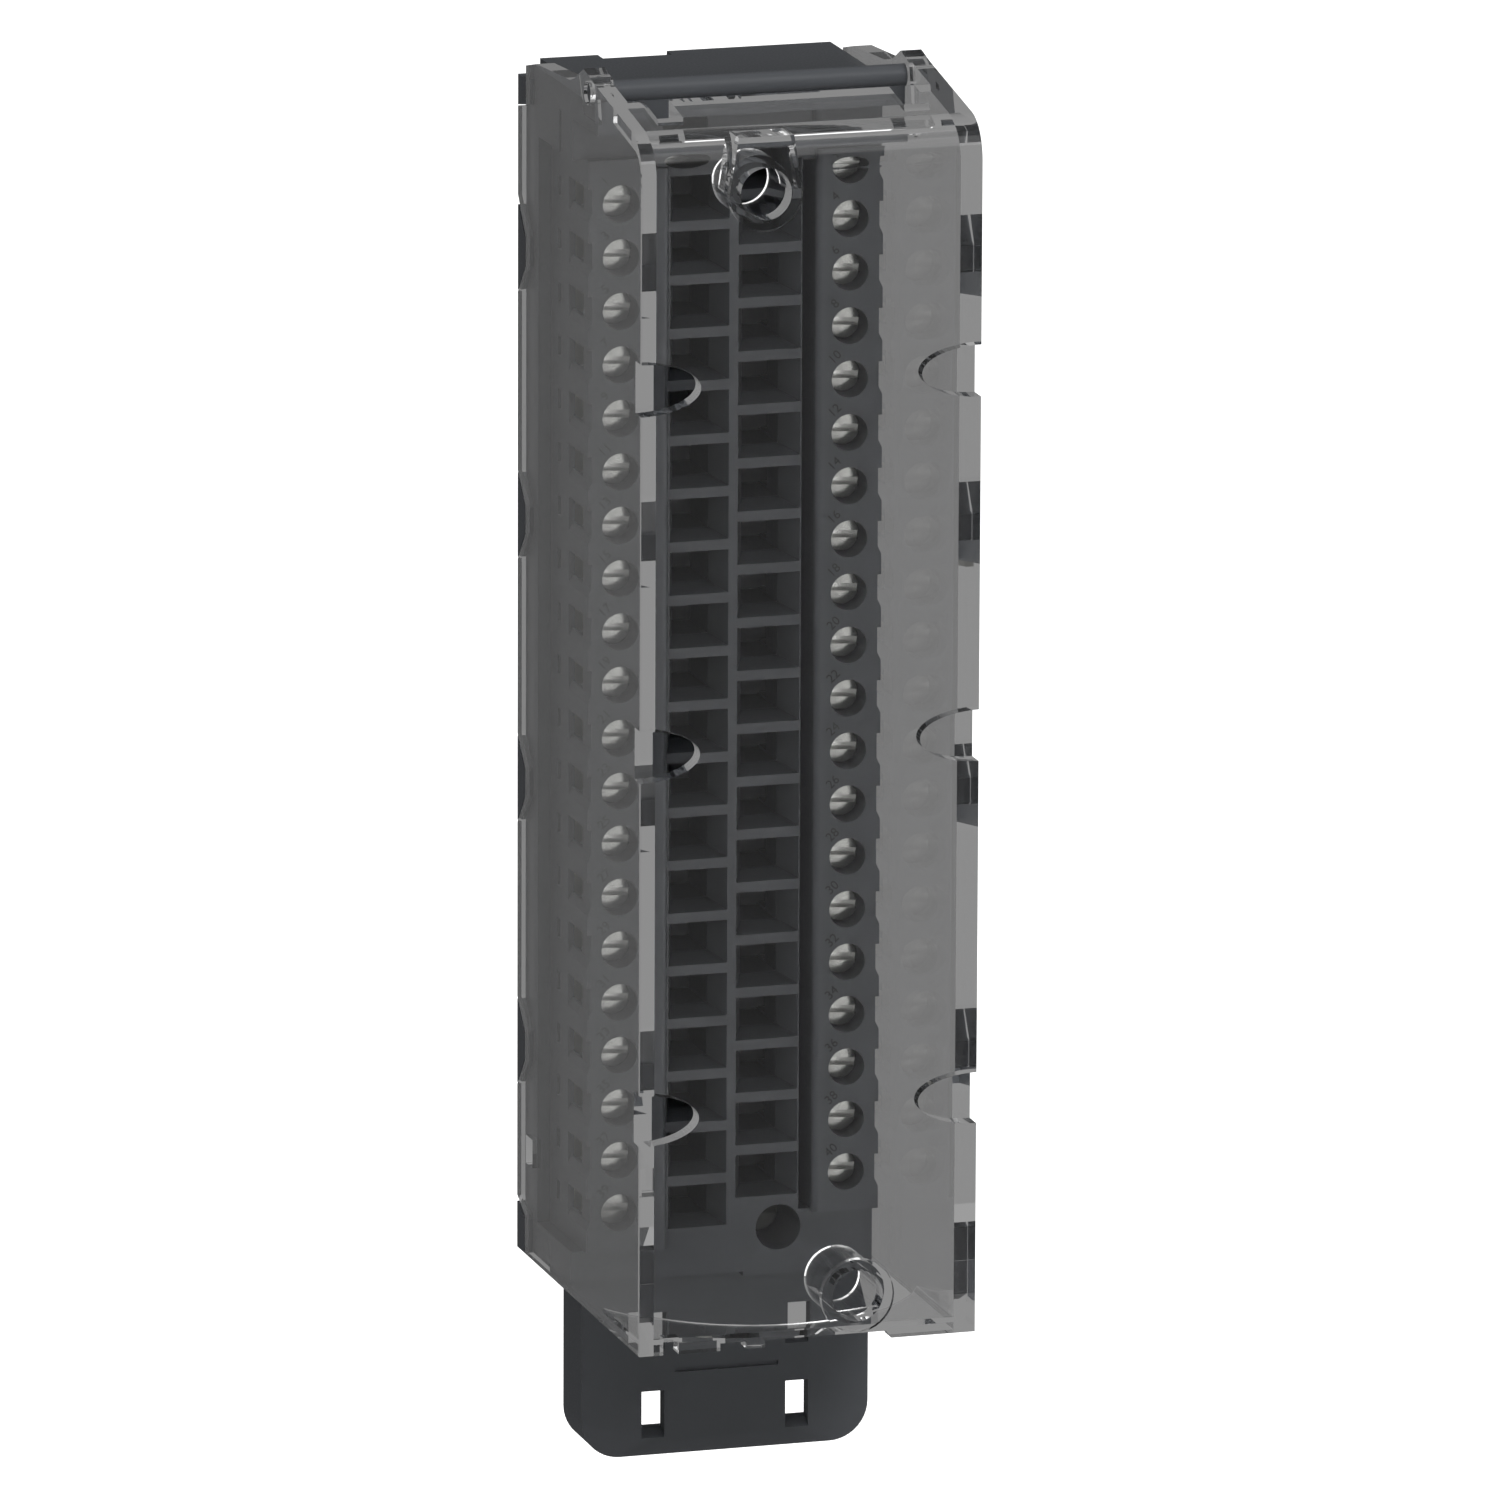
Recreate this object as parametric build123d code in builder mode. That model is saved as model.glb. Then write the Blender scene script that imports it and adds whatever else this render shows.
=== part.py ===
"""Removable terminal block: 2 x 20 screw terminals, hinged clear cover, cable tongue.

Frame: mm, +Z up along the row of terminals, -Y the front where the wires enter,
origin in the rear mating plane, on the centre line of the module it plugs on to.
"""
import os
from build123d import *

os.makedirs("parts", exist_ok=True)

# driving sizes: the module it fits, and the terminals
module_width = 32.0
pitch = 5.0
terminals_per_side = 20
first_screw_left = 46.0
first_screw_right = 48.5

# clear cover, outside
cover_half = module_width / 2
cover_front = -40.0
cover_bottom = -56.0
cover_wall = 1.7
cover_panel = 1.8
cover_roof = 1.9
roof_height = 56.63
roof_rise = 1 / 6
roof_back = -29.5
corner_r = 3.9
inner_corner_r = 2.2
bite_heights = (34.0, 0.1, -33.9)
bite_reach = 5.6
bite_half = 2.4
barrel_outer_r = 3.45
barrel_tube_r = 3.0
barrel_bore_r = 2.4
barrel_front = -40.7
barrel_back = -33.0
boss_half = 2.6
boss_depth = 4.4
web_thickness = 0.5
sill_rise = 0.7

# housing, as wide as the cover lets it be
cover_gap = 0.4
body_half = cover_half - cover_wall - cover_gap
bank_face = -16.0
core_face = -15.0
plate_front = -2.5
body_top = 56.55
body_bottom_left = -55.6
body_bottom_right = -56.05
heel_step_x = 1.2
heel_depth = -8.0
heel_top = -53.0
seam_gap = 0.05
part_gap = 0.03

# screw banks, measured in from the sides of the housing
bank_width = 6.3
bank_inner = body_half - bank_width
left_bank_low = -52.7
left_bank_high = 50.1
right_bank_low = -50.2
right_bank_high = 52.6
screw_x = body_half - 3.1
# the left bank, its screws, clamps and contacts all stand this much nearer the middle
left_shift = 1.24
left_cut_back = plate_front - 1.5
screw_hole_r = 1.73
screw_head_r = 1.66
screw_head_front = -13.8
screw_head_dome = 0.2
screw_head_length = 1.25
screw_shank_r = 1.25
screw_tip = -9.5
slot_width = 0.72
slot_depth = 0.85
slot_saw_r = 6.5

# wire pockets
rib_height = 0.95
pocket_inner = 0.43
pocket_outer_right = bank_inner - 1.2
pocket_outer_left = bank_inner - left_shift - 0.3
pocket_depth = 3.0
wire_hole_width = 3.5
wire_hole_height = 2.95
tunnel_front = -8.55
tunnel_back = -6.1
groove_depth = 3.5

# clamp chamber and clamp
side_wall = 0.6
chamber_inner = bank_inner + 0.5
chamber_outer = body_half - side_wall
chamber_front = -11.7
chamber_height = 4.1
cage_inner = chamber_inner + 0.1
cage_outer = chamber_outer - 0.8
cage_front = -11.6
cage_back = -5.5
cage_front_wall = 1.2
cage_side_wall = 0.6
cage_back_wall = 0.8

# contacts
bar_front = -9.4
bar_thickness = 0.8
bar_half = 1.2
leg_thickness = 0.5
blade_back = -0.6
blade_gap_half = 0.6
blade_thickness = 0.3

# side windows
window_low = -0.85
window_high = 1.5
window_chamfer = 0.75
window_back = -9.8
window_step = 0.35
window_deep_front = -13.3
slit_front = -7.2
slit_back = -6.2
slit_half = 0.95

# hinge: bead on the shelf, ears on the cover
hinge_y = -22.5
hinge_z = 57.9
bead_r = 1.03
ear_hole_r = 1.09
ear_inner = body_half + 0.1
ear_rise = 2.0
ear_reach = 3.9
ear_low = 55.4
shelf_front = -23.1
shelf_low = 54.0

# rear tabs that the cover closes over
tab_heights = (39.0, 13.8, -11.15, -36.2)
tab_half_rear = 4.0
tab_half_front = 1.15
top_tab_low = 52.35
roof_thickness = 1.3
top_tab_high = body_top - roof_thickness - part_gap
foot_tab_high = -51.6
tab_play = 0.1

# fixing screws
fixing_x = 4.57
fixing_z = 51.6
fixing_bore_r = 2.17
fixing_head_r = 2.1
fixing_thread_r = 1.5
fixing_shank_r = 1.3
fixing_hole_r = 1.57
fixing_shoulder = -5.0
fixing_washer = 0.5
fixing_head_length = 3.0
fixing_reach = 4.0

# cable tongue
tongue_front = -14.0
tongue_back = -8.0
tongue_bottom = -73.0
tongue_corner_r = 3.7
tongue_skin = 1.4
tie_slot_x = body_half / 2
tie_slot_width = 2.2
tie_chamfer = 0.8
lower_slot_low = -70.6
lower_slot_high = -66.9
upper_slot_low = -62.5
upper_slot_high = -59.2

left_rows = [first_screw_left - pitch * i for i in range(terminals_per_side)]
right_rows = [first_screw_right - pitch * i for i in range(terminals_per_side)]
columns = (("left", -1, left_rows), ("right", 1, right_rows))


def across(side, x):
    """Place x of a column, measured out from the middle; the left one is set inwards."""
    return x if side > 0 else left_shift - x


def block(x0, x1, y0, y1, z0, z1, mode=Mode.ADD):
    """Box between two corners, for the builder that is open."""
    centre = ((x0 + x1) / 2, (y0 + y1) / 2, (z0 + z1) / 2)
    with Locations(centre):
        Box(abs(x1 - x0), abs(y1 - y0), abs(z1 - z0), mode=mode)


def blocks_at(places, x0, x1, y0, y1, z0, z1, mode=Mode.SUBTRACT):
    """The same box at every height in places."""
    centre_x = (x0 + x1) / 2
    centre_y = (y0 + y1) / 2
    middle = (z0 + z1) / 2
    with Locations([(centre_x, centre_y, place + middle) for place in places]):
        Box(abs(x1 - x0), abs(y1 - y0), abs(z1 - z0), mode=mode)


def rods_at(places, x, y0, y1, radius, mode=Mode.SUBTRACT):
    """Round bars along Y at every height in places."""
    with Locations([(x, (y0 + y1) / 2, place) for place in places]):
        Cylinder(radius, abs(y1 - y0), rotation=(90, 0, 0), mode=mode)


def side_profile(points, x0, x1, mode=Mode.ADD):
    """Closed outline of (y, z) points, extruded from x0 to x1."""
    with BuildSketch(Plane.YZ.offset(x0)) as outline:
        with BuildLine():
            Polyline(points, close=True)
        make_face()
    extrude(outline.sketch, amount=x1 - x0, mode=mode)


def front_profile(points, y_front, depth, mode=Mode.ADD):
    """Closed outline of (x, z) points, extruded back from y_front."""
    with BuildSketch(Plane.XZ.offset(-y_front)) as outline:
        with BuildLine():
            Polyline(points, close=True)
        make_face()
    extrude(outline.sketch, amount=-depth, mode=mode)


def screw_bank(side, low, high):
    """Raised strip with the screws, its inner edge rounded where the wires pass."""
    outer = across(side, body_half)
    inner = across(side, bank_inner)
    with BuildSketch(Plane.XY.offset(low)) as strip:
        with BuildLine():
            Polyline([(outer, bank_face), (inner, bank_face), (inner, core_face + groove_depth),
                      (outer, core_face + groove_depth)], close=True)
        make_face()
        rounded = strip.vertices().sort_by(Axis.Y)[:2].sort_by(lambda v: abs(v.X))[0]
        fillet(rounded, 0.6)
    extrude(strip.sketch, amount=high - low)


def wire_pocket(side, rows):
    """Funnel of one wire entry: wide mouth, sloped floor and cheeks, square deep hole."""
    pocket_outer = pocket_outer_right if side > 0 else pocket_outer_left
    middle = side * (pocket_inner + pocket_outer) / 2
    with BuildPart(mode=Mode.PRIVATE) as funnel:
        with BuildSketch(Plane.XZ.offset(-core_face + 0.01)):
            with Locations((middle, 0)):
                Rectangle(pocket_outer - pocket_inner, pitch - rib_height)
        with BuildSketch(Plane.XZ.offset(-core_face - pocket_depth)):
            with Locations((middle, 0)):
                Rectangle(wire_hole_width, wire_hole_height)
        loft()
        block(middle - wire_hole_width / 2, middle + wire_hole_width / 2,
              core_face + pocket_depth - 0.01, tunnel_back,
              -wire_hole_height / 2, wire_hole_height / 2)
        block(middle, across(side, chamber_inner + 0.05), tunnel_front, tunnel_back, -1.3, 1.3)
        block(across(side, bank_inner - 0.4), across(side, chamber_inner + 0.05),
              bar_front - part_gap, tunnel_back, -bar_half - part_gap, bar_half + part_gap)
    with Locations([(0, 0, row) for row in rows]):
        add(funnel.part, mode=Mode.SUBTRACT)


def clamp_chamber(side, rows):
    """Space for the rising clamp and its contact, open to the rear plate."""
    x = across(side, screw_x)
    blocks_at(rows, across(side, chamber_inner), across(side, chamber_outer), chamber_front,
              plate_front + 0.01, -chamber_height / 2, chamber_height / 2)
    rods_at(rows, x, bank_face - 0.01, screw_head_front + screw_head_length + 0.1, screw_hole_r)
    rods_at(rows, x, bank_face + 2, chamber_front + 0.01, screw_shank_r + 0.1)


def side_window(side, rows):
    """Window notch beside every clamp: shallow step from the front, deeper pane, thin slit."""
    outer = across(side, body_half + 0.01)
    step = across(side, body_half - window_step)
    inner = across(side, chamber_outer - 0.2)
    with BuildPart(mode=Mode.PRIVATE) as notch:
        front_profile([(outer, window_low - window_chamfer), (step, window_low), (step, window_high),
                       (outer, window_high)], bank_face - 0.01, window_back - bank_face)
        block(inner, outer, window_deep_front, window_back, window_low, window_high)
        block(inner, outer, slit_front, slit_back, -slit_half, slit_half)
    with Locations([(0, 0, row) for row in rows]):
        add(notch.part, mode=Mode.SUBTRACT)


def terminal_housing():
    """Front moulding: core, screw banks, wire pockets, chambers, shelf and hinge bead."""
    with BuildPart() as housing:
        block(-body_half, body_half, core_face + groove_depth, plate_front, heel_top + part_gap,
              body_top)
        block(-body_half, heel_step_x, core_face, heel_depth - part_gap, body_bottom_left, -50.0)
        block(heel_step_x, body_half, core_face, heel_depth - part_gap, body_bottom_right, -50.0)
        block(across(-1, bank_inner) - 0.1, pocket_outer_right + 0.1, core_face, -10.0, -52.0,
              body_top)
        block(-body_half, body_half, core_face, -10.0, right_bank_high - 2.6, body_top)
        block(-body_half, body_half, plate_front - 0.01, 0, body_top - roof_thickness, body_top)
        for side, low, high in ((-1, left_bank_low, left_bank_high),
                                (1, right_bank_low, right_bank_high)):
            screw_bank(side, low, high)
        # the left side face stands in line with its bank
        block(-body_half - 1, across(-1, body_half), bank_face - 1, left_cut_back,
              left_bank_low, left_bank_high, mode=Mode.SUBTRACT)
        # shelf that carries the hinge bead
        block(-body_half, body_half, shelf_front, core_face + 0.01, shelf_low, body_top)
        block(-body_half, body_half, shelf_front, hinge_y + 0.6, shelf_low, hinge_z)
        with Locations((0, hinge_y, hinge_z)):
            Cylinder(bead_r, 2 * (cover_half - 0.3), rotation=(0, 90, 0))
        for name, side, rows in columns:
            wire_pocket(side, rows)
            clamp_chamber(side, rows)
            side_window(side, rows)
        # notch in the rear edge of the top, and a thin slot down each side face
        block(5.5 - body_half, 12.1 - body_half, -1.7, 0.01, body_top - 2, body_top + 1,
              mode=Mode.SUBTRACT)
        for side in (-1, 1):
            block(side * (body_half - 0.7), side * (body_half + 1), -11.45, -10.75, 49.6, 54.0,
                  mode=Mode.SUBTRACT)
        block(body_half - 1.0, body_half + 1, core_face - 1, core_face + 0.8,
              body_bottom_right - 1, right_bank_low, mode=Mode.SUBTRACT)
        # stepped bores of the two fixing screws
        for side in (-1, 1):
            rods_at([-side * fixing_z], side * fixing_x, core_face - 2, fixing_shoulder,
                    fixing_bore_r)
            rods_at([-side * fixing_z], side * fixing_x, -6, plate_front + 1, fixing_hole_r)
    housing.part.label = "terminal_housing"
    export_step(housing.part, "parts/terminal_housing.step")


def side_tab(side, rows):
    """Dovetail tabs on the rear edge that fill the notches of the closed cover."""
    inner = side * (body_half - 0.5)
    with BuildPart(mode=Mode.PRIVATE) as tab:
        side_profile([(plate_front, -tab_half_front), (plate_front, tab_half_front),
                      (0, tab_half_rear), (0, -tab_half_rear)],
                     min(inner, side * cover_half), max(inner, side * cover_half))
    with Locations([(0, 0, row) for row in rows]):
        add(tab.part)


def base_housing():
    """Rear plate with the contact slots, edge tabs, and the cable tongue below."""
    with BuildPart() as base:
        block(-body_half, body_half, plate_front, 0, heel_top - 1, top_tab_high)
        block(-body_half, body_half, heel_depth, 0, cover_bottom + 0.05, heel_top)
        for side in (-1, 1):
            side_tab(side, tab_heights)
            low = min(side * (body_half - 0.5), side * cover_half)
            high = max(side * (body_half - 0.5), side * cover_half)
            side_profile([(plate_front, top_tab_low + 0.5), (0, top_tab_low), (0, top_tab_high),
                          (plate_front, top_tab_high)], low, high)
            side_profile([(plate_front, cover_bottom), (0, cover_bottom), (0, foot_tab_high),
                          (plate_front, foot_tab_high - 1.2)], low, high)
        cable_tongue()
        for name, side, rows in columns:
            x = across(side, screw_x)
            slot_half = blade_gap_half + blade_thickness + 0.2
            blocks_at(rows, x - slot_half, x + slot_half, plate_front - 0.01, 0.01, -1.0, 1.0)
            rods_at([-side * fixing_z], side * fixing_x, fixing_shoulder - 1, 1, fixing_hole_r)
            rods_at([-side * fixing_z], side * fixing_x, heel_depth - 1, fixing_shoulder,
                    fixing_bore_r)
    base.part.label = "base_housing"
    export_step(base.part, "parts/base_housing.step")


def cable_tongue():
    """Hollow tongue the cable bundle is tied to, with four chamfered tie slots."""
    half = body_half - 0.05
    with BuildSketch(Plane.XZ.offset(-tongue_front)) as outline:
        with BuildLine():
            Polyline([(-half, body_bottom_left - seam_gap),
                      (heel_step_x - seam_gap, body_bottom_left - seam_gap),
                      (heel_step_x - seam_gap, body_bottom_right - seam_gap),
                      (half, body_bottom_right - seam_gap), (half, tongue_bottom),
                      (-half, tongue_bottom)], close=True)
        make_face()
        fillet(outline.vertices().sort_by(Axis.Y)[:2], tongue_corner_r)
    extrude(outline.sketch, amount=-(tongue_back - tongue_front))
    with BuildSketch(Plane.XZ.offset(-tongue_back)) as hollow:
        with Locations((0, (tongue_bottom + cover_bottom) / 2 - 0.2)):
            Rectangle(2 * (half - tongue_skin), cover_bottom - tongue_bottom - 2 * tongue_skin)
        fillet(hollow.vertices().sort_by(Axis.Y)[:2], tongue_corner_r - tongue_skin)
    extrude(hollow.sketch, amount=tongue_back - tongue_front - tongue_skin, mode=Mode.SUBTRACT)
    for x in (-tie_slot_x, tie_slot_x):
        for low, high in ((lower_slot_low, lower_slot_high), (upper_slot_low, upper_slot_high)):
            block(x - tie_slot_width / 2, x + tie_slot_width / 2, tongue_front - 1, tongue_back,
                  low, high, mode=Mode.SUBTRACT)
            side_profile([(tongue_front - 0.01, low - tie_chamfer), (tongue_front - 0.01, low + 0.1),
                          (tongue_front + 1.2, low + 0.1)],
                         x - tie_slot_width / 2, x + tie_slot_width / 2, mode=Mode.SUBTRACT)
    # shallow line pressed in between the slots
    block(2.1 - tie_slot_x, tie_slot_x - 1.8, tongue_front - 1, tongue_front + 0.25,
          -65.25, -64.85, mode=Mode.SUBTRACT)


def clamp_cages():
    """One rising clamp for each terminal: a square loop with the screw thread in front."""
    for name, side, rows in columns:
        for index, row in enumerate(rows):
            with BuildPart() as cage:
                block(across(side, cage_inner), across(side, cage_outer), cage_front, cage_back,
                      row - chamber_height / 2 + 0.05, row + chamber_height / 2 - 0.05)
                inner_half = chamber_height / 2 - 0.05 - cage_side_wall
                block(across(side, cage_inner - 1), across(side, cage_outer + 1),
                      cage_front + cage_front_wall, cage_back - cage_back_wall,
                      row - inner_half, row + inner_half, mode=Mode.SUBTRACT)
                rods_at([row], across(side, screw_x), cage_front - 1,
                        cage_front + cage_front_wall + 1, screw_shank_r + 0.03)
            cage.part.label = f"{name}_clamp_{index + 1:02d}"
            export_step(cage.part, f"parts/{name}_clamp_{index + 1:02d}.step")


def terminal_screws():
    """Slotted clamp screws with a slightly domed head, one group of solids for each bank."""
    head_back = screw_head_front + screw_head_length
    rim = screw_head_front + screw_head_dome
    for name, side, rows in columns:
        with BuildPart() as screws:
            with BuildPart(mode=Mode.PRIVATE) as screw:
                with BuildSketch(Plane.XY):
                    with BuildLine():
                        dome_middle = (screw_head_r * 0.55, screw_head_front + 0.3 * screw_head_dome)
                        dome = ThreePointArc((0, screw_head_front), dome_middle,
                                             (screw_head_r - 0.1, rim))
                        Polyline([dome @ 1, (screw_head_r, rim + 0.1), (screw_head_r, head_back),
                                  (screw_shank_r, head_back), (screw_shank_r, screw_tip - 0.3),
                                  (screw_shank_r - 0.3, screw_tip), (0, screw_tip),
                                  (0, screw_head_front)])
                    make_face()
                revolve(axis=Axis.Y)
                # slot left by a round saw, deepest at the middle of the head
                with Locations((0, screw_head_front + slot_depth - slot_saw_r, 0)):
                    Cylinder(slot_saw_r, slot_width, rotation=(0, -4, 0), mode=Mode.SUBTRACT)
            with Locations([(across(side, screw_x), 0, row) for row in rows]):
                add(screw.part)
        screws.part.label = f"{name}_terminal_screws"
        export_step(screws.part, f"parts/{name}_terminal_screws.step")


def contacts():
    """Contact of each terminal: clamp bar, leg past the clamp, fork for the module's pin."""
    for name, side, rows in columns:
        with BuildPart() as group:
            outer = across(side, chamber_outer - part_gap)
            leg_inner = across(side, chamber_outer - part_gap - leg_thickness)
            fork_near = across(side, screw_x - blade_gap_half - blade_thickness)
            with BuildPart(mode=Mode.PRIVATE) as contact:
                block(across(side, bank_inner - 0.2), outer, bar_front, bar_front + bar_thickness,
                      -bar_half, bar_half)
                block(leg_inner, outer, bar_front, plate_front - part_gap, -bar_half, bar_half)
                block(fork_near, outer, plate_front - part_gap - leg_thickness,
                      plate_front - part_gap, -bar_half, bar_half)
                for direction in (-1, 1):
                    near = across(side, screw_x) + direction * blade_gap_half
                    block(near, near + direction * blade_thickness, plate_front - 0.2,
                          blade_back, -0.8, 0.8)
            with Locations([(0, 0, row) for row in rows]):
                add(contact.part)
        group.part.label = f"{name}_contacts"
        export_step(group.part, f"parts/{name}_contacts.step")


def fixing_screws():
    """Captive screws that hold the block on its module, and the washers under their heads."""
    for name, side in (("upper", -1), ("lower", 1)):
        height = -side * fixing_z
        x = side * fixing_x
        washer_front = fixing_shoulder - fixing_washer - 0.02
        head_back = washer_front - 0.03
        head_front = head_back - fixing_head_length
        with BuildPart() as screw:
            rods_at([height], x, head_front, head_back, fixing_head_r, mode=Mode.ADD)
            rim = screw.edges().filter_by(GeomType.CIRCLE).sort_by(Axis.Y)[0]
            fillet(rim, 0.3)
            rods_at([height], x, head_back - 0.1, 0.1, fixing_shank_r, mode=Mode.ADD)
            rods_at([height], x, 0.05, fixing_reach, fixing_thread_r, mode=Mode.ADD)
            tip = screw.edges().filter_by(GeomType.CIRCLE).sort_by(Axis.Y)[-1]
            chamfer(tip, 0.4)
            with Locations((x, head_front, height)):
                Box(4 * fixing_head_r, 1.6, 0.8, mode=Mode.SUBTRACT)
        screw.part.label = f"{name}_fixing_screw"
        export_step(screw.part, f"parts/{name}_fixing_screw.step")
        with BuildPart() as washer:
            rods_at([height], x, washer_front, fixing_shoulder - 0.02, fixing_bore_r - part_gap,
                    mode=Mode.ADD)
            rods_at([height], x, washer_front - 1, fixing_shoulder + 1, fixing_hole_r)
        washer.part.label = f"{name}_fixing_washer"
        export_step(washer.part, f"parts/{name}_fixing_washer.step")


def cover():
    """Clear hinged cover: channel with rounded top, ears, tie bites and two driver barrels."""
    with BuildPart() as shell:
        cover_walls()
        hollow_out()
        for side in (-1, 1):
            hinge_ear(side)
            rear_notches(side)
            for height in bite_heights:
                with BuildSketch(Plane.XZ.offset(-cover_front + 1)):
                    with Locations((side * cover_half, height)):
                        Ellipse(bite_reach, bite_half)
                extrude(amount=-(1 + cover_panel + 0.15), mode=Mode.SUBTRACT)
        foot_web()
        driver_barrels()
    shell.part.label = "cover"
    export_step(shell.part, "parts/cover.step")


def roof_at(y):
    """Height of the sloping roof's outside at a depth y."""
    return roof_height + roof_rise * (y - cover_front)


def ear_points():
    """Outline of the top of a side wall round the hinge, from the rear to the front."""
    front = hinge_y - 1.5
    return [(hinge_y + ear_reach, hinge_z + 0.3 * ear_rise), (hinge_y + 1.2, hinge_z + ear_rise),
            (front, roof_at(front))]


def cover_walls():
    """Side outline of the cover across its whole width, front top corner rounded."""
    rear = plate_front - tab_play
    wall_top = hinge_z + 0.1
    with BuildSketch(Plane.YZ.offset(-cover_half)) as outline:
        with BuildLine():
            Polyline([(cover_front, cover_bottom), (0, cover_bottom), (0, top_tab_low - tab_play),
                      (rear, top_tab_low + 0.4), (rear, wall_top - 1.5), (-6.0, wall_top - 0.7),
                      (hinge_y + ear_reach + 1.6, wall_top), *ear_points(),
                      (cover_front, roof_height)], close=True)
        make_face()
        front_top = outline.vertices().sort_by(Axis.X)[:2].sort_by(Axis.Y)[-1]
        fillet(front_top, corner_r)
    extrude(outline.sketch, amount=module_width)


def hollow_out():
    """Inside of the channel, open at the back, below, and above the shelf."""
    inner = cover_half - cover_wall
    inner_front = cover_front + cover_panel
    with BuildSketch(Plane.YZ.offset(-inner)) as cavity:
        with BuildLine():
            Polyline([(inner_front, cover_bottom - 1), (2, cover_bottom - 1),
                      (2, hinge_z + 7), (roof_back, hinge_z + 7),
                      (roof_back, roof_at(roof_back) - cover_roof),
                      (inner_front, roof_at(inner_front) - cover_roof)], close=True)
        make_face()
        corner = cavity.vertices().sort_by(Axis.X)[:2].sort_by(Axis.Y)[-1]
        fillet(corner, inner_corner_r)
    extrude(cavity.sketch, amount=2 * inner, mode=Mode.SUBTRACT)
    # slots in the rear edge of the roof that let the ears spring outwards
    for side in (-1, 1):
        block(side * (inner - 3.9), side * (inner - 1.5), roof_back - 4.5, roof_back + 1,
              roof_height - cover_roof - 1, hinge_z + 4, mode=Mode.SUBTRACT)


def hinge_ear(side):
    """Thicker pad round the hinge hole, snapped over the end of the bead."""
    with BuildPart(mode=Mode.PRIVATE) as pad:
        low = min(side * ear_inner, side * (cover_half - cover_wall + 0.01))
        high = max(side * ear_inner, side * (cover_half - cover_wall + 0.01))
        side_profile([(hinge_y - 2.4, ear_low), (hinge_y + 2.4, ear_low), *ear_points()], low, high)
    add(pad.part)
    with Locations((side * (cover_half - 1), hinge_y, hinge_z)):
        Cylinder(ear_hole_r, 4, rotation=(0, 90, 0), mode=Mode.SUBTRACT)


def rear_notches(side):
    """Notches of one side wall round the housing tabs, with room for the swing."""
    low = min(side * (cover_half - 2), side * (cover_half + 1))
    high = max(side * (cover_half - 2), side * (cover_half + 1))
    front = plate_front - tab_play
    for number, height in enumerate(tab_heights):
        rise = 0.95 if number == 0 else 0.25
        side_profile([(front, height - tab_half_front - 0.15), (front, height + tab_half_front + 0.35),
                      (0.01, height + tab_half_rear + rise), (0.01, height - tab_half_rear - 0.2)],
                     low, high, mode=Mode.SUBTRACT)
    side_profile([(front, cover_bottom - 1), (front, foot_tab_high - 0.7),
                  (0.01, foot_tab_high + 0.6), (0.01, cover_bottom - 1)],
                 low, high, mode=Mode.SUBTRACT)
    # small window beside the lowest tab, on the left wall alone
    if side < 0:
        block(low, high, plate_front - 2.6, plate_front - 0.4, foot_tab_high + 4.4,
              foot_tab_high + 7.1, mode=Mode.SUBTRACT)


def foot_web():
    """Thin floor web between the walls, its rear edge an arc so the wires can leave."""
    inner = cover_half - cover_wall + 0.1
    sill = cover_bottom + sill_rise
    with BuildSketch(Plane.XY.offset(sill)) as web:
        with BuildLine():
            sides = Polyline([(-inner, cover_front + 13.2), (-inner, cover_front + 1),
                              (inner, cover_front + 1), (inner, cover_front + 13.2)])
            ThreePointArc(sides @ 1, (0, cover_front + 3.7), sides @ 0)
        make_face()
    extrude(web.sketch, amount=web_thickness)
    # steps along the lower edge of the front panel: a raised sill beside a small foot,
    # a longer one with a sloped end, and a notch by the left corner
    through = cover_front + cover_panel
    block(cover_half - 24.3, cover_half - 21.8, cover_front - 1, through, cover_bottom - 1, sill,
          mode=Mode.SUBTRACT)
    front_profile([(cover_half - 20.05, cover_bottom - 1), (cover_half - 20.05, sill),
                   (cover_half - 8.5, sill), (cover_half - 8.0, cover_bottom),
                   (cover_half - 8.0, cover_bottom - 1)],
                  cover_front - 1, cover_panel + 1, mode=Mode.SUBTRACT)
    block(2.28 - cover_half, 3.75 - cover_half, cover_front - 1, through, cover_bottom - 1,
          cover_bottom + 1.6, mode=Mode.SUBTRACT)


def driver_barrels():
    """Guide tubes for the driver in front of the two fixing screws."""
    for side in (-1, 1):
        height = -side * fixing_z
        x = side * fixing_x
        rods_at([height], x, barrel_front, cover_front + cover_panel, barrel_outer_r, mode=Mode.ADD)
        rods_at([height], x, cover_front + 0.5, barrel_back, barrel_tube_r, mode=Mode.ADD)
    # boss that joins the upper barrel to the rounded top
    top = roof_at(cover_front + 1.6)
    front_profile([(-fixing_x - boss_half, top), (-fixing_x + boss_half, top),
                   (-fixing_x + barrel_outer_r - 0.02, fixing_z),
                   (-fixing_x - barrel_outer_r + 0.02, fixing_z)],
                  barrel_front, boss_depth)
    for side in (-1, 1):
        rods_at([-side * fixing_z], side * fixing_x, barrel_front - 1, barrel_back + 1,
                barrel_bore_r)


terminal_housing()
base_housing()
clamp_cages()
terminal_screws()
contacts()
fixing_screws()
cover()
print("parts written:", len(os.listdir("parts")))
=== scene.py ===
import math
import bmesh
import bpy
from mathutils import Matrix, Vector


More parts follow.
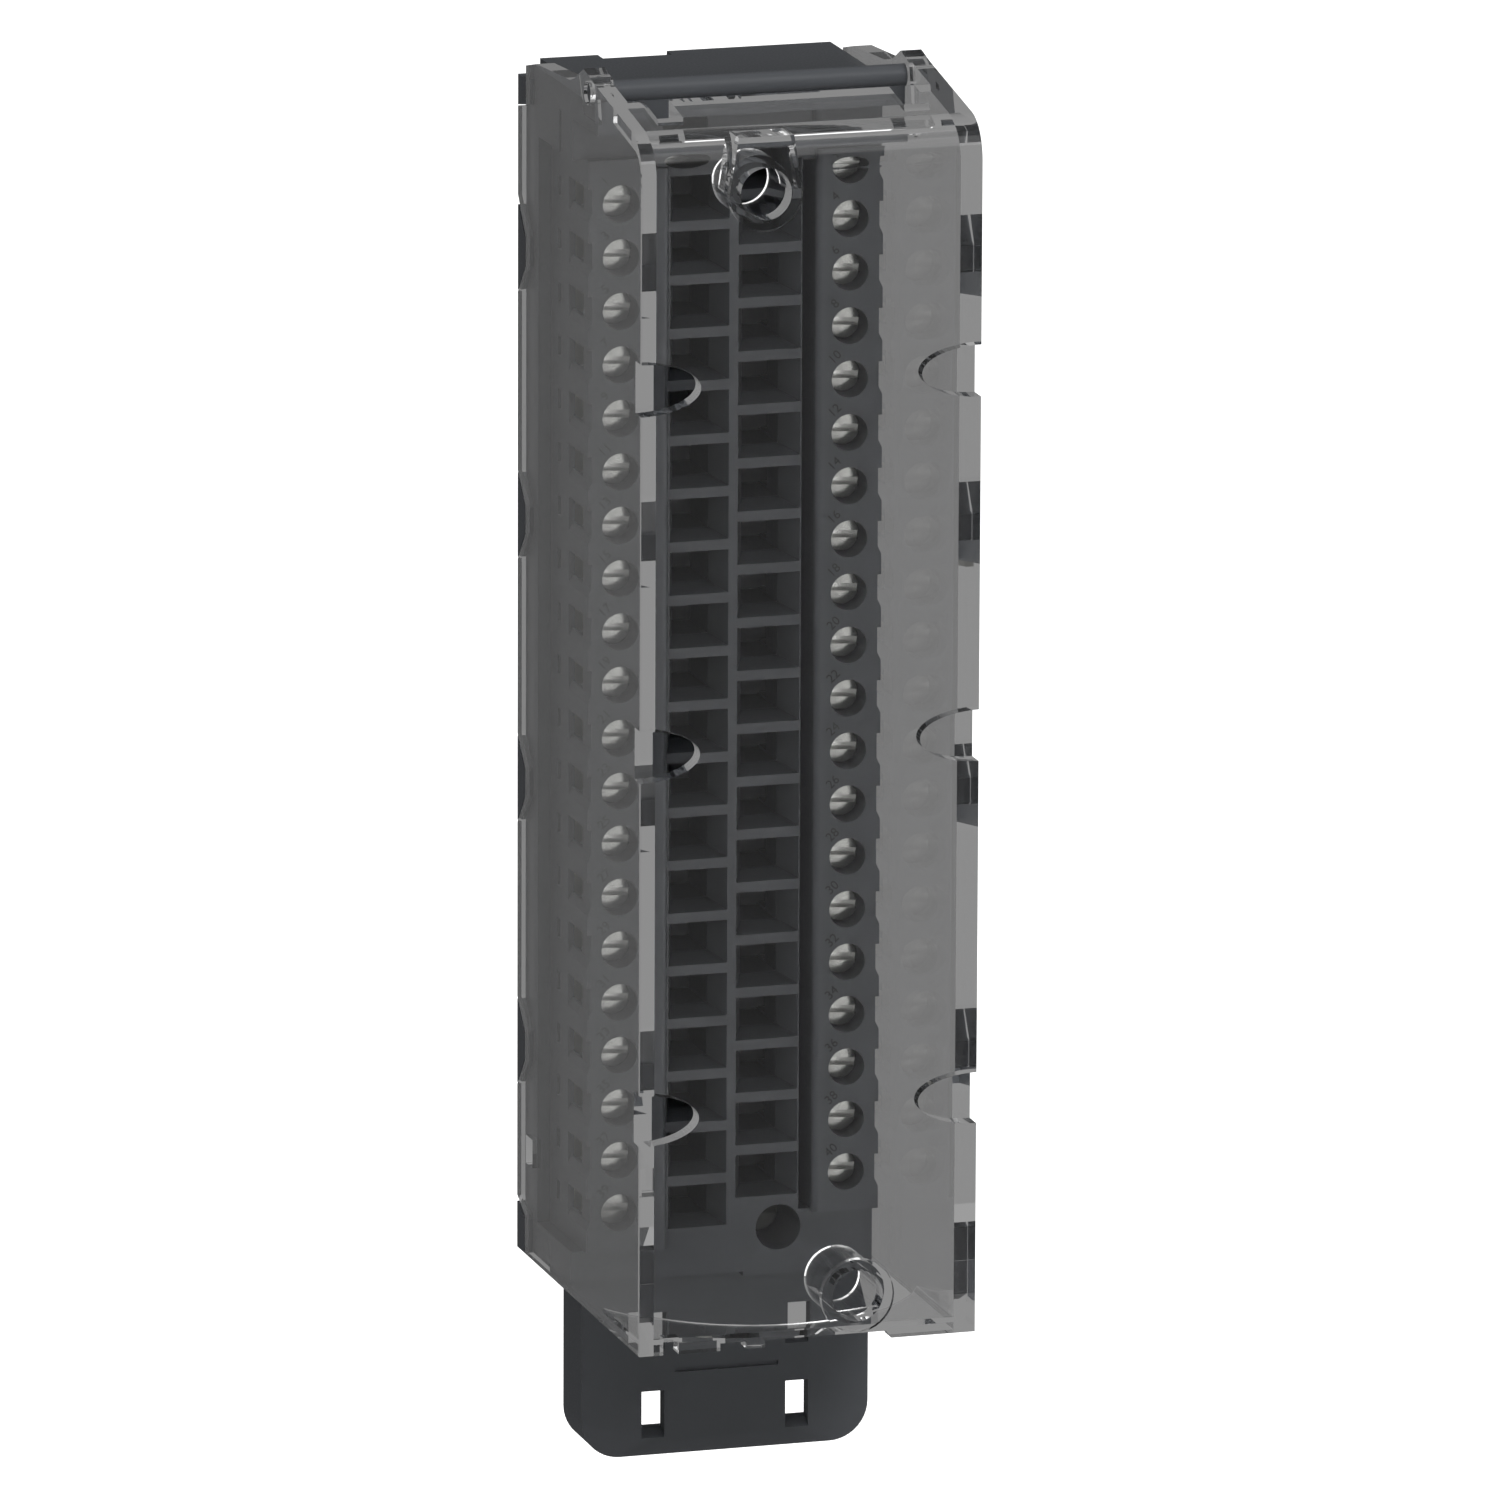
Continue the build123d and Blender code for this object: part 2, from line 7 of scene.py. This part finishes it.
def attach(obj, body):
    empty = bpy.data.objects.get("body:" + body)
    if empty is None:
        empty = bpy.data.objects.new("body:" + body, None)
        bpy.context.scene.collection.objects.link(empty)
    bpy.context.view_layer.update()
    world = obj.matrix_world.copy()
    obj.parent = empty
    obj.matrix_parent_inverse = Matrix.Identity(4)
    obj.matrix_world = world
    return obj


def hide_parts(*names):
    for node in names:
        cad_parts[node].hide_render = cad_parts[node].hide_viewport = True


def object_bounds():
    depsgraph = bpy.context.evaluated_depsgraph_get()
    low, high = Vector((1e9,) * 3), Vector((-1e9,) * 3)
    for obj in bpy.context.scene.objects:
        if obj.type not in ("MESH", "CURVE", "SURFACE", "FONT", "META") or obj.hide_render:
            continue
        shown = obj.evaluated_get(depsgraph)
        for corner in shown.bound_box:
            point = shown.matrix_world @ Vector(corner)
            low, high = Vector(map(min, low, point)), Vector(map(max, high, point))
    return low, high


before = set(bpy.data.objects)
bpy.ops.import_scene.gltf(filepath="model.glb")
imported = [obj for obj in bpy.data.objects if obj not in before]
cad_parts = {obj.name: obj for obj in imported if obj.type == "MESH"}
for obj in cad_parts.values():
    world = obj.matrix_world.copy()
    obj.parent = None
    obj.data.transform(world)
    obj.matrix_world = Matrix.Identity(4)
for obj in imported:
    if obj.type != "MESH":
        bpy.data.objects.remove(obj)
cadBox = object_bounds()
mm = 0.001


def srgb(hexText):
    # sRGB hex to the linear colour that the shaders want
    parts = [int(hexText[i:i + 2], 16) / 255 for i in (1, 3, 5)]
    return tuple(c / 12.92 if c <= 0.04045 else ((c + 0.055) / 1.055) ** 2.4 for c in parts) + (1,)


def addNode(tree, kind, settings=None, links=None):
    # one node: plain settings, socket values by name or number, and links into it; a colour Mix
    # has its two colours in sockets 6 and 7, and gives output 2
    node = tree.nodes.new(kind)
    for key, value in (settings or {}).items():
        if isinstance(key, str) and hasattr(node, key):
            setattr(node, key, value)
        else:
            node.inputs[key].default_value = value
    for key, source in (links or {}).items():
        tree.links.new(source, node.inputs[key])
    return node


def newMaterial(name):
    material = bpy.data.materials.new(name)
    material.use_nodes = True
    material.node_tree.nodes.clear()
    return material, material.node_tree


def makeMouldedNylon(look):
    # glass-filled nylon, injection moulded: dark grey, an eroded mould's matt grain, drawn coarse
    # enough to show, faint flow clouds, and sharp edges painted a little lighter as a painted highlight
    material, tree = newMaterial(look["name"])
    place = addNode(tree, "ShaderNodeTexCoord").outputs["Object"]
    grain = addNode(tree, "ShaderNodeTexNoise",
                    {"Scale": 1 / (look["grainMm"] * mm), "Detail": 3, "Roughness": 0.6}, {"Vector": place})
    clouds = addNode(tree, "ShaderNodeTexNoise", {"Scale": 1 / (look["cloudMm"] * mm), "Detail": 2},
                     {"Vector": place})
    tone = addNode(tree, "ShaderNodeMix",
                   {"data_type": "RGBA", 6: srgb(look["dark"]), 7: srgb(look["light"])},
                   {0: clouds.outputs[0]})
    # painted highlight: edges that pointiness finds sharp are painted lighter, towards the edge colour
    edges = addNode(tree, "ShaderNodeNewGeometry").outputs["Pointiness"]
    paintedEdgeHighlight = addNode(tree, "ShaderNodeMapRange",
                     {"From Min": look["flat"], "From Max": look["sharp"], "To Min": 0.0,
                      "To Max": look["edgeHighlight"]}, {"Value": edges})
    colour = addNode(tree, "ShaderNodeMix", {"data_type": "RGBA", 7: srgb(look["edge"])},
                     {0: paintedEdgeHighlight.outputs[0], 6: tone.outputs[2]})
    gloss = addNode(tree, "ShaderNodeMapRange",
                    {"From Min": 0.3, "From Max": 0.7, "To Min": look["rough"] - look["roughSpread"],
                     "To Max": look["rough"] + look["roughSpread"]}, {"Value": grain.outputs[0]})
    bump = addNode(tree, "ShaderNodeBump", {"Strength": look["bump"], "Distance": look["grainDepthMm"] * mm},
                   {"Height": grain.outputs[0]})
    shader = addNode(tree, "ShaderNodeBsdfPrincipled",
                     {"IOR": look["ior"], "Specular IOR Level": look["specular"]},
                     {"Base Color": colour.outputs[2], "Roughness": gloss.outputs[0],
                      "Normal": bump.outputs[0]})
    addNode(tree, "ShaderNodeOutputMaterial", None, {"Surface": shader.outputs[0]})
    return material


def makeClearPolycarbonate(look):
    # clear polycarbonate, injection moulded in a polished tool: hard bright edges, long faint
    # waves in the flat walls; light that keeps turning back inside a wall leaks out of it
    material, tree = newMaterial(look["name"])
    place = addNode(tree, "ShaderNodeTexCoord").outputs["Object"]
    waves = addNode(tree, "ShaderNodeTexNoise", {"Scale": 1 / (look["waveMm"] * mm), "Detail": 1},
                    {"Vector": place})
    bump = addNode(tree, "ShaderNodeBump", {"Strength": look["bump"], "Distance": look["waveDepthMm"] * mm},
                   {"Height": waves.outputs[0]})
    shader = addNode(tree, "ShaderNodeBsdfPrincipled",
                     {"Base Color": srgb(look["tint"]), "Roughness": look["rough"], "IOR": look["ior"],
                      "Transmission Weight": 1.0}, {"Normal": bump.outputs[0]})
    turns = addNode(tree, "ShaderNodeLightPath").outputs["Glossy Depth"]
    trapped = addNode(tree, "ShaderNodeMath", {"operation": "GREATER_THAN", 1: look["turns"]}, {0: turns})
    leak = addNode(tree, "ShaderNodeBsdfTransparent")
    surface = addNode(tree, "ShaderNodeMixShader", None,
                      {0: trapped.outputs[0], 1: shader.outputs[0], 2: leak.outputs[0]})
    addNode(tree, "ShaderNodeOutputMaterial", None, {"Surface": surface.outputs[0]})
    return material


def makePlatedMetal(look):
    # turned or stamped metal with a plated skin: machining lines, drawn coarse enough to show,
    # and soft mottling
    material, tree = newMaterial(look["name"])
    place = addNode(tree, "ShaderNodeTexCoord").outputs["Object"]
    mottle = addNode(tree, "ShaderNodeTexNoise", {"Scale": 1 / (look["mottleMm"] * mm), "Detail": 4},
                     {"Vector": place})
    tone = addNode(tree, "ShaderNodeMix",
                   {"data_type": "RGBA", 6: srgb(look["dark"]), 7: srgb(look["light"])},
                   {0: mottle.outputs[0]})
    stretched = addNode(tree, "ShaderNodeMapping", {"Scale": look["lineScale"]}, {"Vector": place})
    lines = addNode(tree, "ShaderNodeTexNoise", {"Scale": 1 / (look["lineMm"] * mm), "Detail": 2},
                    {"Vector": stretched.outputs[0]})
    bump = addNode(tree, "ShaderNodeBump", {"Strength": look["bump"], "Distance": look["lineDepthMm"] * mm},
                   {"Height": lines.outputs[0]})
    shader = addNode(tree, "ShaderNodeBsdfPrincipled",
                     {"Metallic": look["metallic"], "Roughness": look["rough"]},
                     {"Base Color": tone.outputs[2], "Normal": bump.outputs[0]})
    addNode(tree, "ShaderNodeOutputMaterial", None, {"Surface": shader.outputs[0]})
    return material


# flat and sharp are the pointiness where the painted edge highlight starts and where it is full
housingLook = {"name": "mouldedNylon", "dark": "#3b3d40", "light": "#404245", "edge": "#505256",
               "edgeHighlight": 0.35, "flat": 0.52, "sharp": 0.62, "rough": 0.4, "roughSpread": 0.05,
               "ior": 1.5, "specular": 0.35, "grainMm": 0.22, "grainDepthMm": 0.0264, "cloudMm": 9.0,
               "bump": 0.25}
# the numbers' nylon is painted much darker: painted shade that stands in for the shade in their raised
# strokes
numberLook = {**housingLook, "name": "paintedShadeNumberNylon", "dark": "#1b1c1e", "light": "#1f2022", "edgeHighlight": 0.0}
# turns is how often light turns back inside a wall before it leaks out
coverLook = {"name": "clearPolycarbonate", "tint": "#ffffff", "rough": 0.0, "ior": 1.5, "waveMm": 16.0,
             "waveDepthMm": 0.02, "bump": 0.04, "turns": 5.5}
screwLook = {"name": "platedScrewSteel", "dark": "#959592", "light": "#a7a7a4", "metallic": 0.9,
             "rough": 0.2, "mottleMm": 1.2, "lineMm": 0.12, "lineDepthMm": 0.01, "lineScale": (1, 0.2, 3),
             "bump": 0.03}
clampLook = {"name": "zincPlatedClamp", "dark": "#8f9188", "light": "#a5a79c", "metallic": 0.85,
             "rough": 0.4, "mottleMm": 1.6, "lineMm": 0.15, "lineDepthMm": 0.01, "lineScale": (3, 1, 1),
             "bump": 0.2}
contactLook = {"name": "tinnedBrass", "dark": "#b5b09c", "light": "#c8c3b0", "metallic": 1.0,
               "rough": 0.35, "mottleMm": 1.4, "lineMm": 0.15, "lineDepthMm": 0.01,
               "lineScale": (1, 3, 1), "bump": 0.15}

mouldedNylon = makeMouldedNylon(housingLook)
paintedShadeNumberNylon = makeMouldedNylon(numberLook)
clearPolycarbonate = makeClearPolycarbonate(coverLook)
platedScrewSteel = makePlatedMetal(screwLook)
zincPlatedClamp = makePlatedMetal(clampLook)
tinnedBrass = makePlatedMetal(contactLook)
print("materials made")


def finishFor(nodeName):
    if nodeName in ("base_housing", "terminal_housing"):
        return mouldedNylon
    if nodeName == "cover":
        return clearPolycarbonate
    if "_clamp_" in nodeName:
        return zincPlatedClamp
    if nodeName.endswith("_contacts"):
        return tinnedBrass
    return platedScrewSteel


for nodeName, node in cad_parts.items():
    node.data.materials.clear()
    node.data.materials.append(finishFor(nodeName))
print("CAD nodes finished:", len(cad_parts))


# turned in a lathe and slotted with a saw: sizes in mm, those of the solids, with a broken rim,
# and the slots turned as they stand in the photograph; crisp is the angle above which edges stay
screwsPerSide = 20
screwStyle = {"headRadius": 1.66, "headLength": 1.25, "rim": 0.1, "face": -13.8, "dome": 0.05,
              "shankRadius": 1.25, "tip": -9.5, "chamfer": 0.3, "steps": 64, "weld": 1e-4, "crisp": 28}
slotSizes = {"Saw radius": 6.5, "Slot width": 0.72, "Slot depth": 0.85, "Slot tilt": math.radians(4),
             "Head face": screwStyle["face"], "Pitch": 5.0, "Column": 0.0, "First row": 0.0}
screwColumns = {"left": {"Column": -9.56, "First row": 46.0}, "right": {"Column": 10.8, "First row": 48.5}}


def turnedScrew():
    # the screw's outline spun about its axis, the slot still to be cut
    style = screwStyle
    face, radius, shank = style["face"], style["headRadius"], style["shankRadius"]
    outline = [(0, face), (0.5 * radius, face + 0.25 * style["dome"]),
               (radius - style["rim"], face + style["dome"]),
               (radius, face + style["dome"] + style["rim"]), (radius, face + style["headLength"]),
               (shank, face + style["headLength"]), (shank, style["tip"] - style["chamfer"]),
               (shank - style["chamfer"], style["tip"]), (0, style["tip"])]
    shape = bmesh.new()
    points = [shape.verts.new((r, y, 0)) for r, y in outline]
    edges = [shape.edges.new(pair) for pair in zip(points, points[1:])]
    bmesh.ops.spin(shape, geom=points + edges, axis=(0, 1, 0), cent=(0, 0, 0), steps=style["steps"],
                   angle=2 * math.pi, use_duplicate=False)
    bmesh.ops.remove_doubles(shape, verts=shape.verts, dist=style["weld"])
    bmesh.ops.recalc_face_normals(shape, faces=shape.faces)
    mesh = bpy.data.meshes.new("turnedScrew")
    shape.to_mesh(mesh)
    shape.free()
    return mesh


def screwColumnTree():
    # cuts the slot and repeats the screw down its column, in mm, then turns it to metres: the
    # boolean needs sizes near 1
    tree = bpy.data.node_groups.new("screwColumn", "GeometryNodeTree")
    sockets = tree.interface
    sockets.new_socket("Geometry", in_out="INPUT", socket_type="NodeSocketGeometry")
    for label, value in slotSizes.items():
        sockets.new_socket(label, in_out="INPUT", socket_type="NodeSocketFloat").default_value = value
    sockets.new_socket("Screws", in_out="INPUT", socket_type="NodeSocketInt").default_value = screwsPerSide
    sockets.new_socket("Metal", in_out="INPUT", socket_type="NodeSocketMaterial")
    sockets.new_socket("Geometry", in_out="OUTPUT", socket_type="NodeSocketGeometry")
    given = tree.nodes.new("NodeGroupInput").outputs
    saw = addNode(tree, "GeometryNodeMeshCylinder", {"Vertices": 256},
                  {"Radius": given["Saw radius"], "Depth": given["Slot width"]})
    reach = addNode(tree, "ShaderNodeMath", {"operation": "SUBTRACT"},
                    {0: given["Slot depth"], 1: given["Saw radius"]})
    depth = addNode(tree, "ShaderNodeMath", {"operation": "ADD"},
                    {0: given["Head face"], 1: reach.outputs[0]})
    sawPlace = addNode(tree, "ShaderNodeCombineXYZ", None, {"Y": depth.outputs[0]})
    sawTurn = addNode(tree, "ShaderNodeCombineXYZ", None, {"Y": given["Slot tilt"]})
    placed = addNode(tree, "GeometryNodeTransform", None,
                     {"Geometry": saw.outputs["Mesh"], "Translation": sawPlace.outputs[0],
                      "Rotation": sawTurn.outputs[0]})
    cut = addNode(tree, "GeometryNodeMeshBoolean", {"operation": "DIFFERENCE"},
                  {"Mesh 1": given["Geometry"], "Mesh 2": placed.outputs[0]})
    top = addNode(tree, "ShaderNodeCombineXYZ", None, {"X": given["Column"], "Z": given["First row"]})
    down = addNode(tree, "ShaderNodeMath", {"operation": "MULTIPLY", 1: -1.0}, {0: given["Pitch"]})
    step = addNode(tree, "ShaderNodeCombineXYZ", None, {"Z": down.outputs[0]})
    column = addNode(tree, "GeometryNodeMeshLine", None,
                     {"Count": given["Screws"], "Start Location": top.outputs[0],
                      "Offset": step.outputs[0]})
    placedAll = addNode(tree, "GeometryNodeInstanceOnPoints", None,
                        {"Points": column.outputs[0], "Instance": cut.outputs["Mesh"]})
    solid = addNode(tree, "GeometryNodeRealizeInstances", None, {0: placedAll.outputs[0]})
    metres = addNode(tree, "GeometryNodeTransform", {"Scale": (mm, mm, mm)}, {"Geometry": solid.outputs[0]})
    finished = addNode(tree, "GeometryNodeSetMaterial", None,
                       {"Geometry": metres.outputs[0], "Material": given["Metal"]})
    tree.links.new(finished.outputs[0], tree.nodes.new("NodeGroupOutput").inputs[0])
    return tree


def smoothTurnedFaces(mesh, sharpest):
    # round faces shade smooth, and edges that turn more than the angle stay crisp
    shape = bmesh.new()
    shape.from_mesh(mesh)
    for face in shape.faces:
        face.smooth = True
    for edge in shape.edges:
        edge.smooth = edge.is_manifold and edge.calc_face_angle() < sharpest
    shape.to_mesh(mesh)
    shape.free()


def makeTerminalScrews():
    tree = screwColumnTree()
    identifiers = {item.name: item.identifier for item in tree.interface.items_tree
                   if item.in_out == "INPUT"}
    for side, place in screwColumns.items():
        blank = bpy.data.objects.new("screwBlank", turnedScrew())
        bpy.context.scene.collection.objects.link(blank)
        modifier = blank.modifiers.new("screwColumn", "NODES")
        modifier.node_group = tree
        inputs = {**slotSizes, **place, "Screws": screwsPerSide, "Metal": platedScrewSteel}
        for label, value in inputs.items():
            modifier[identifiers[label]] = value
        bpy.context.view_layer.update()
        mesh = bpy.data.meshes.new_from_object(blank.evaluated_get(bpy.context.evaluated_depsgraph_get()))
        bpy.data.objects.remove(blank)
        smoothTurnedFaces(mesh, math.radians(screwStyle["crisp"]))
        mesh.name = side + "ScrewColumn"
        screws = bpy.data.objects.new(side + "TerminalScrews", mesh)
        bpy.context.scene.collection.objects.link(screws)
        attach(screws, "housing")
        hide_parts(side + "_terminal_screws")


makeTerminalScrews()
print("terminal screws made")

# raised numbers on the banks, odd on the left and even on the right; left and right are the
# places across, and face is the banks' front
numberStyle = {"height": 1.25 * mm, "raised": 0.12 * mm, "tilt": 42, "left": -11.06 * mm,
               "right": 9.35 * mm, "face": -16.0 * mm, "aboveScrew": 2.15 * mm, "roundness": 3,
               "weld": 1e-6}


def raisedNumber(text, x, z):
    curve = bpy.data.curves.new("number", "FONT")
    curve.body = text
    curve.size = numberStyle["height"]
    curve.extrude = numberStyle["raised"] / 2
    curve.align_x = "CENTER"
    curve.align_y = "CENTER"
    curve.resolution_u = numberStyle["roundness"]
    carrier = bpy.data.objects.new("numberText", curve)
    bpy.context.scene.collection.objects.link(carrier)
    bpy.context.view_layer.update()
    mesh = bpy.data.meshes.new_from_object(carrier.evaluated_get(bpy.context.evaluated_depsgraph_get()))
    bpy.data.objects.remove(carrier)
    place = (Matrix.Translation((x, numberStyle["face"], z)) @ Matrix.Rotation(math.radians(90), 4, "X")
             @ Matrix.Rotation(math.radians(numberStyle["tilt"]), 4, "Z"))
    mesh.transform(place)
    return mesh


def makeNumbers():
    shape = bmesh.new()
    for index in range(screwsPerSide):
        for number, side in ((2 * index + 1, "left"), (2 * index + 2, "right")):
            row = (screwColumns[side]["First row"] - slotSizes["Pitch"] * index) * mm
            mesh = raisedNumber(str(number), numberStyle[side], row + numberStyle["aboveScrew"])
            shape.from_mesh(mesh)
            bpy.data.meshes.remove(mesh)
    bmesh.ops.remove_doubles(shape, verts=shape.verts, dist=numberStyle["weld"])
    bmesh.ops.recalc_face_normals(shape, faces=shape.faces)
    mesh = bpy.data.meshes.new("terminalNumbers")
    shape.to_mesh(mesh)
    shape.free()
    numbers = bpy.data.objects.new("terminalNumbers", mesh)
    bpy.context.scene.collection.objects.link(numbers)
    # the numbers take the darker nylon, painted shade for their strokes
    mesh.materials.append(paintedShadeNumberNylon)
    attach(numbers, "housing")


makeNumbers()
print("terminal numbers made")


# drop and size of the floor in metres; lift is its own light, bounce what the object gets from it
floorStyle = {"drop": 0.09, "size": 40.0, "white": "#f4f4f4", "lift": 0.55, "bounce": 0.52}


def makeFloor():
    # white for the camera, where it takes the shadow, and a pale grey bounce for the object;
    # glass and metal look past it into the world
    material, tree = newMaterial("paleFloor")
    white = (1, 1, 1, 1)
    painted = addNode(tree, "ShaderNodeBsdfDiffuse", {"Color": srgb(floorStyle["white"])})
    lift = addNode(tree, "ShaderNodeEmission", {"Color": white, "Strength": floorStyle["lift"]})
    seen = addNode(tree, "ShaderNodeAddShader", None, {0: painted.outputs[0], 1: lift.outputs[0]})
    bounce = addNode(tree, "ShaderNodeEmission", {"Color": white, "Strength": floorStyle["bounce"]})
    ray = addNode(tree, "ShaderNodeLightPath").outputs
    choice = addNode(tree, "ShaderNodeMixShader", None,
                     {0: ray["Is Camera Ray"], 1: bounce.outputs[0], 2: seen.outputs[0]})
    addNode(tree, "ShaderNodeOutputMaterial", None, {"Surface": choice.outputs[0]})
    half = floorStyle["size"] / 2
    low = cadBox[0][2] - floorStyle["drop"]
    mesh = bpy.data.meshes.new("floor")
    mesh.from_pydata([(-half, -half, low), (half, -half, low), (half, half, low), (-half, half, low)], [],
                     [(0, 1, 2, 3)])
    floor = bpy.data.objects.new("floor", mesh)
    bpy.context.scene.collection.objects.link(floor)
    floor.visible_glossy = False
    floor.visible_transmission = False
    mesh.materials.append(material)


# aims: how nearly a direction points at each is 1 straight at it and 0 square to it.
# levels: the studio's brightness, line by line. A long line is a ramp: its name, what it follows,
# from and to where, and the level at each end. A short line is a name and the brighter of two.
# What a ramp follows is Y or Z of the direction, an aim, an output of Light Path, or a line above.
studioStyle = {"aims": {"Towards window": (0.78, -0.6, -0.2), "Towards key": (0.2, -0.69, 0.69),
                        "Towards camera": (-0.282, -0.93, 0.237)}, "levels": [
    # seen through the cover: a brighter front with a soft window for the metal under it, a dimmer
    # one for a single reflection in the cover, grey for all else, and light from overhead
    ("metal front", "Towards window", 0.65, 0.95, 0.5, 2.7),
    ("first front", "Transmission Depth", 2.5, 3.5, 0.2, "metal front"),
    ("front", "Glossy Depth", 1.5, 2.5, "first front", 0.27),
    ("glass around", "Y", -0.6, -0.2, "front", 0.27),
    ("glass above", "Z", 0.25, 0.95, 0.0, 0.38),
    ("glass", "glass around", "glass above"),
    # mirrored: the polished cover mirrors sharply, and the satin pieces blur a brighter studio
    ("gloss around", "Y", -0.5, 0.6, 0.2, 0.14),
    ("gloss above", "Z", 0.45, 0.95, 0.0, 0.38),
    ("gloss", "gloss around", "gloss above"),
    ("satin", "Y", -0.5, 0.6, 0.34, 0.06),
    ("mirrored", "Is Singular Ray", 0.0, 1.0, "satin", "gloss"),
    # light that has turned back often inside a wall counts as seen through the cover
    ("turned", "Glossy Depth", 3.4, 3.6, 0.0, 1.0),
    ("through", "turned", "Is Transmission Ray"),
    ("shiny", "through", 0.0, 1.0, "mirrored", "glass"),
    # the key lamp's own reflection, which the lamps leave to the world
    ("key glint", "Towards key", 0.955, 0.975, 0.0, 1.5),
    ("glint", "Is Transmission Ray", 0.0, 1.0, "key glint", 0.0),
    ("shiny with glint", "shiny", "glint"),
    # what lights the matt surfaces: even outside the cover, frontal and from above inside it
    ("above", "Z", 0.1, 0.9, 0.55, 1.2),
    ("frontal", "Towards camera", 0.94, 0.985, 0.74, 6.0),
    ("inside", "frontal", "above"),
    ("matt", "Transmission Depth", 0.0, 1.0, 0.74, "inside"),
    ("level", "Diffuse Depth", 0.0, 1.0, "shiny with glint", "matt"),
    # the camera itself sees white
    ("seen", "Is Camera Ray", 0.0, 1.0, "level", 1.0),
]}


def makeWorld():
    # one brightness for each kind of ray, shaped by its direction
    world = bpy.data.worlds.new("paleStudio")
    bpy.context.scene.world = world
    world.use_nodes = True
    tree = world.node_tree
    tree.nodes.clear()
    direction = addNode(tree, "ShaderNodeTexCoord").outputs["Generated"]
    parts = addNode(tree, "ShaderNodeSeparateXYZ", None, {0: direction}).outputs
    known = {"Y": parts["Y"], "Z": parts["Z"]}
    known.update({socket.name: socket for socket in addNode(tree, "ShaderNodeLightPath").outputs})
    for name, aim in studioStyle["aims"].items():
        dot = addNode(tree, "ShaderNodeVectorMath", {"operation": "DOT_PRODUCT", 1: aim}, {0: direction})
        known[name] = dot.outputs["Value"]
    for name, *line in studioStyle["levels"]:
        if len(line) == 2:
            node = addNode(tree, "ShaderNodeMath", {"operation": "MAXIMUM"},
                           {0: known[line[0]], 1: known[line[1]]})
        else:
            follows, low, high, *ends = line
            settings, links = {"From Min": low, "From Max": high}, {"Value": known[follows]}
            for socket, level in zip(("To Min", "To Max"), ends):
                if isinstance(level, str):
                    links[socket] = known[level]
                else:
                    settings[socket] = level
            node = addNode(tree, "ShaderNodeMapRange", settings, links)
        known[name] = node.outputs[0]
    background = addNode(tree, "ShaderNodeBackground", {"Color": (1, 1, 1, 1)}, {"Strength": known["seen"]})
    addNode(tree, "ShaderNodeOutputWorld", None, {"Surface": background.outputs[0]})


# places and sizes in metres, power in watts
lampStyle = {
    "key": {"from": (0.35, -1.2, 1.2), "size": 0.9, "power": 21.0},
    "side": {"from": (1.3, -0.6, 0.3), "size": 0.8, "power": 0.8},
}


def makeLamps():
    # soft discs that light the matt surfaces; the cover and the metal don't mirror them
    for name, lamp in lampStyle.items():
        data = bpy.data.lights.new(name, "AREA")
        data.shape = "DISK"
        data.size = lamp["size"]
        data.energy = lamp["power"]
        lampObject = bpy.data.objects.new(name, data)
        bpy.context.scene.collection.objects.link(lampObject)
        lampObject.location = lamp["from"]
        aim = Vector((0, 0, 0)) - Vector(lamp["from"])
        lampObject.rotation_euler = aim.to_track_quat("-Z", "Y").to_euler()
        lampObject.visible_transmission = False
        lampObject.visible_glossy = False


# the photograph's place and lens, from the fit of the module's edges: the camera's three
# directions, its place in mm, and its focal length in pixels of the 1500 pixel frame
cameraStyle = {"right": (0.95718324, -0.28945903, 0.00370364), "up": (0.06512554, 0.22778793, 0.9715304),
               "ahead": (0.2820619, 0.92969141, -0.23688597), "placeMm": (-483.666, -1615.416, 401.586),
               "focalPixels": 18742.6, "framePixels": 1500, "sensorMm": 36, "nearest": 0.05, "farthest": 60}


def makeCamera():
    style = cameraStyle
    data = bpy.data.cameras.new("photoCamera")
    data.sensor_width = style["sensorMm"]
    data.lens = style["focalPixels"] / style["framePixels"] * style["sensorMm"]
    data.clip_start = style["nearest"]
    data.clip_end = style["farthest"]
    camera = bpy.data.objects.new("photoCamera", data)
    bpy.context.scene.collection.objects.link(camera)
    turn = Matrix((style["right"], style["up"], -Vector(style["ahead"]))).transposed().to_4x4()
    camera.matrix_world = Matrix.Translation(Vector(style["placeMm"]) * mm) @ turn
    bpy.context.scene.camera = camera


# light turns back many times inside the clear walls before it leaves them
bounceStyle = {"max_bounces": 32, "glossy_bounces": 24, "transmission_bounces": 32}

makeFloor()
makeWorld()
makeLamps()
makeCamera()
bpy.context.scene.view_settings.view_transform = "Standard"
for setting, bounces in bounceStyle.items():
    setattr(bpy.context.scene.cycles, setting, bounces)
print("stage, light and camera made")
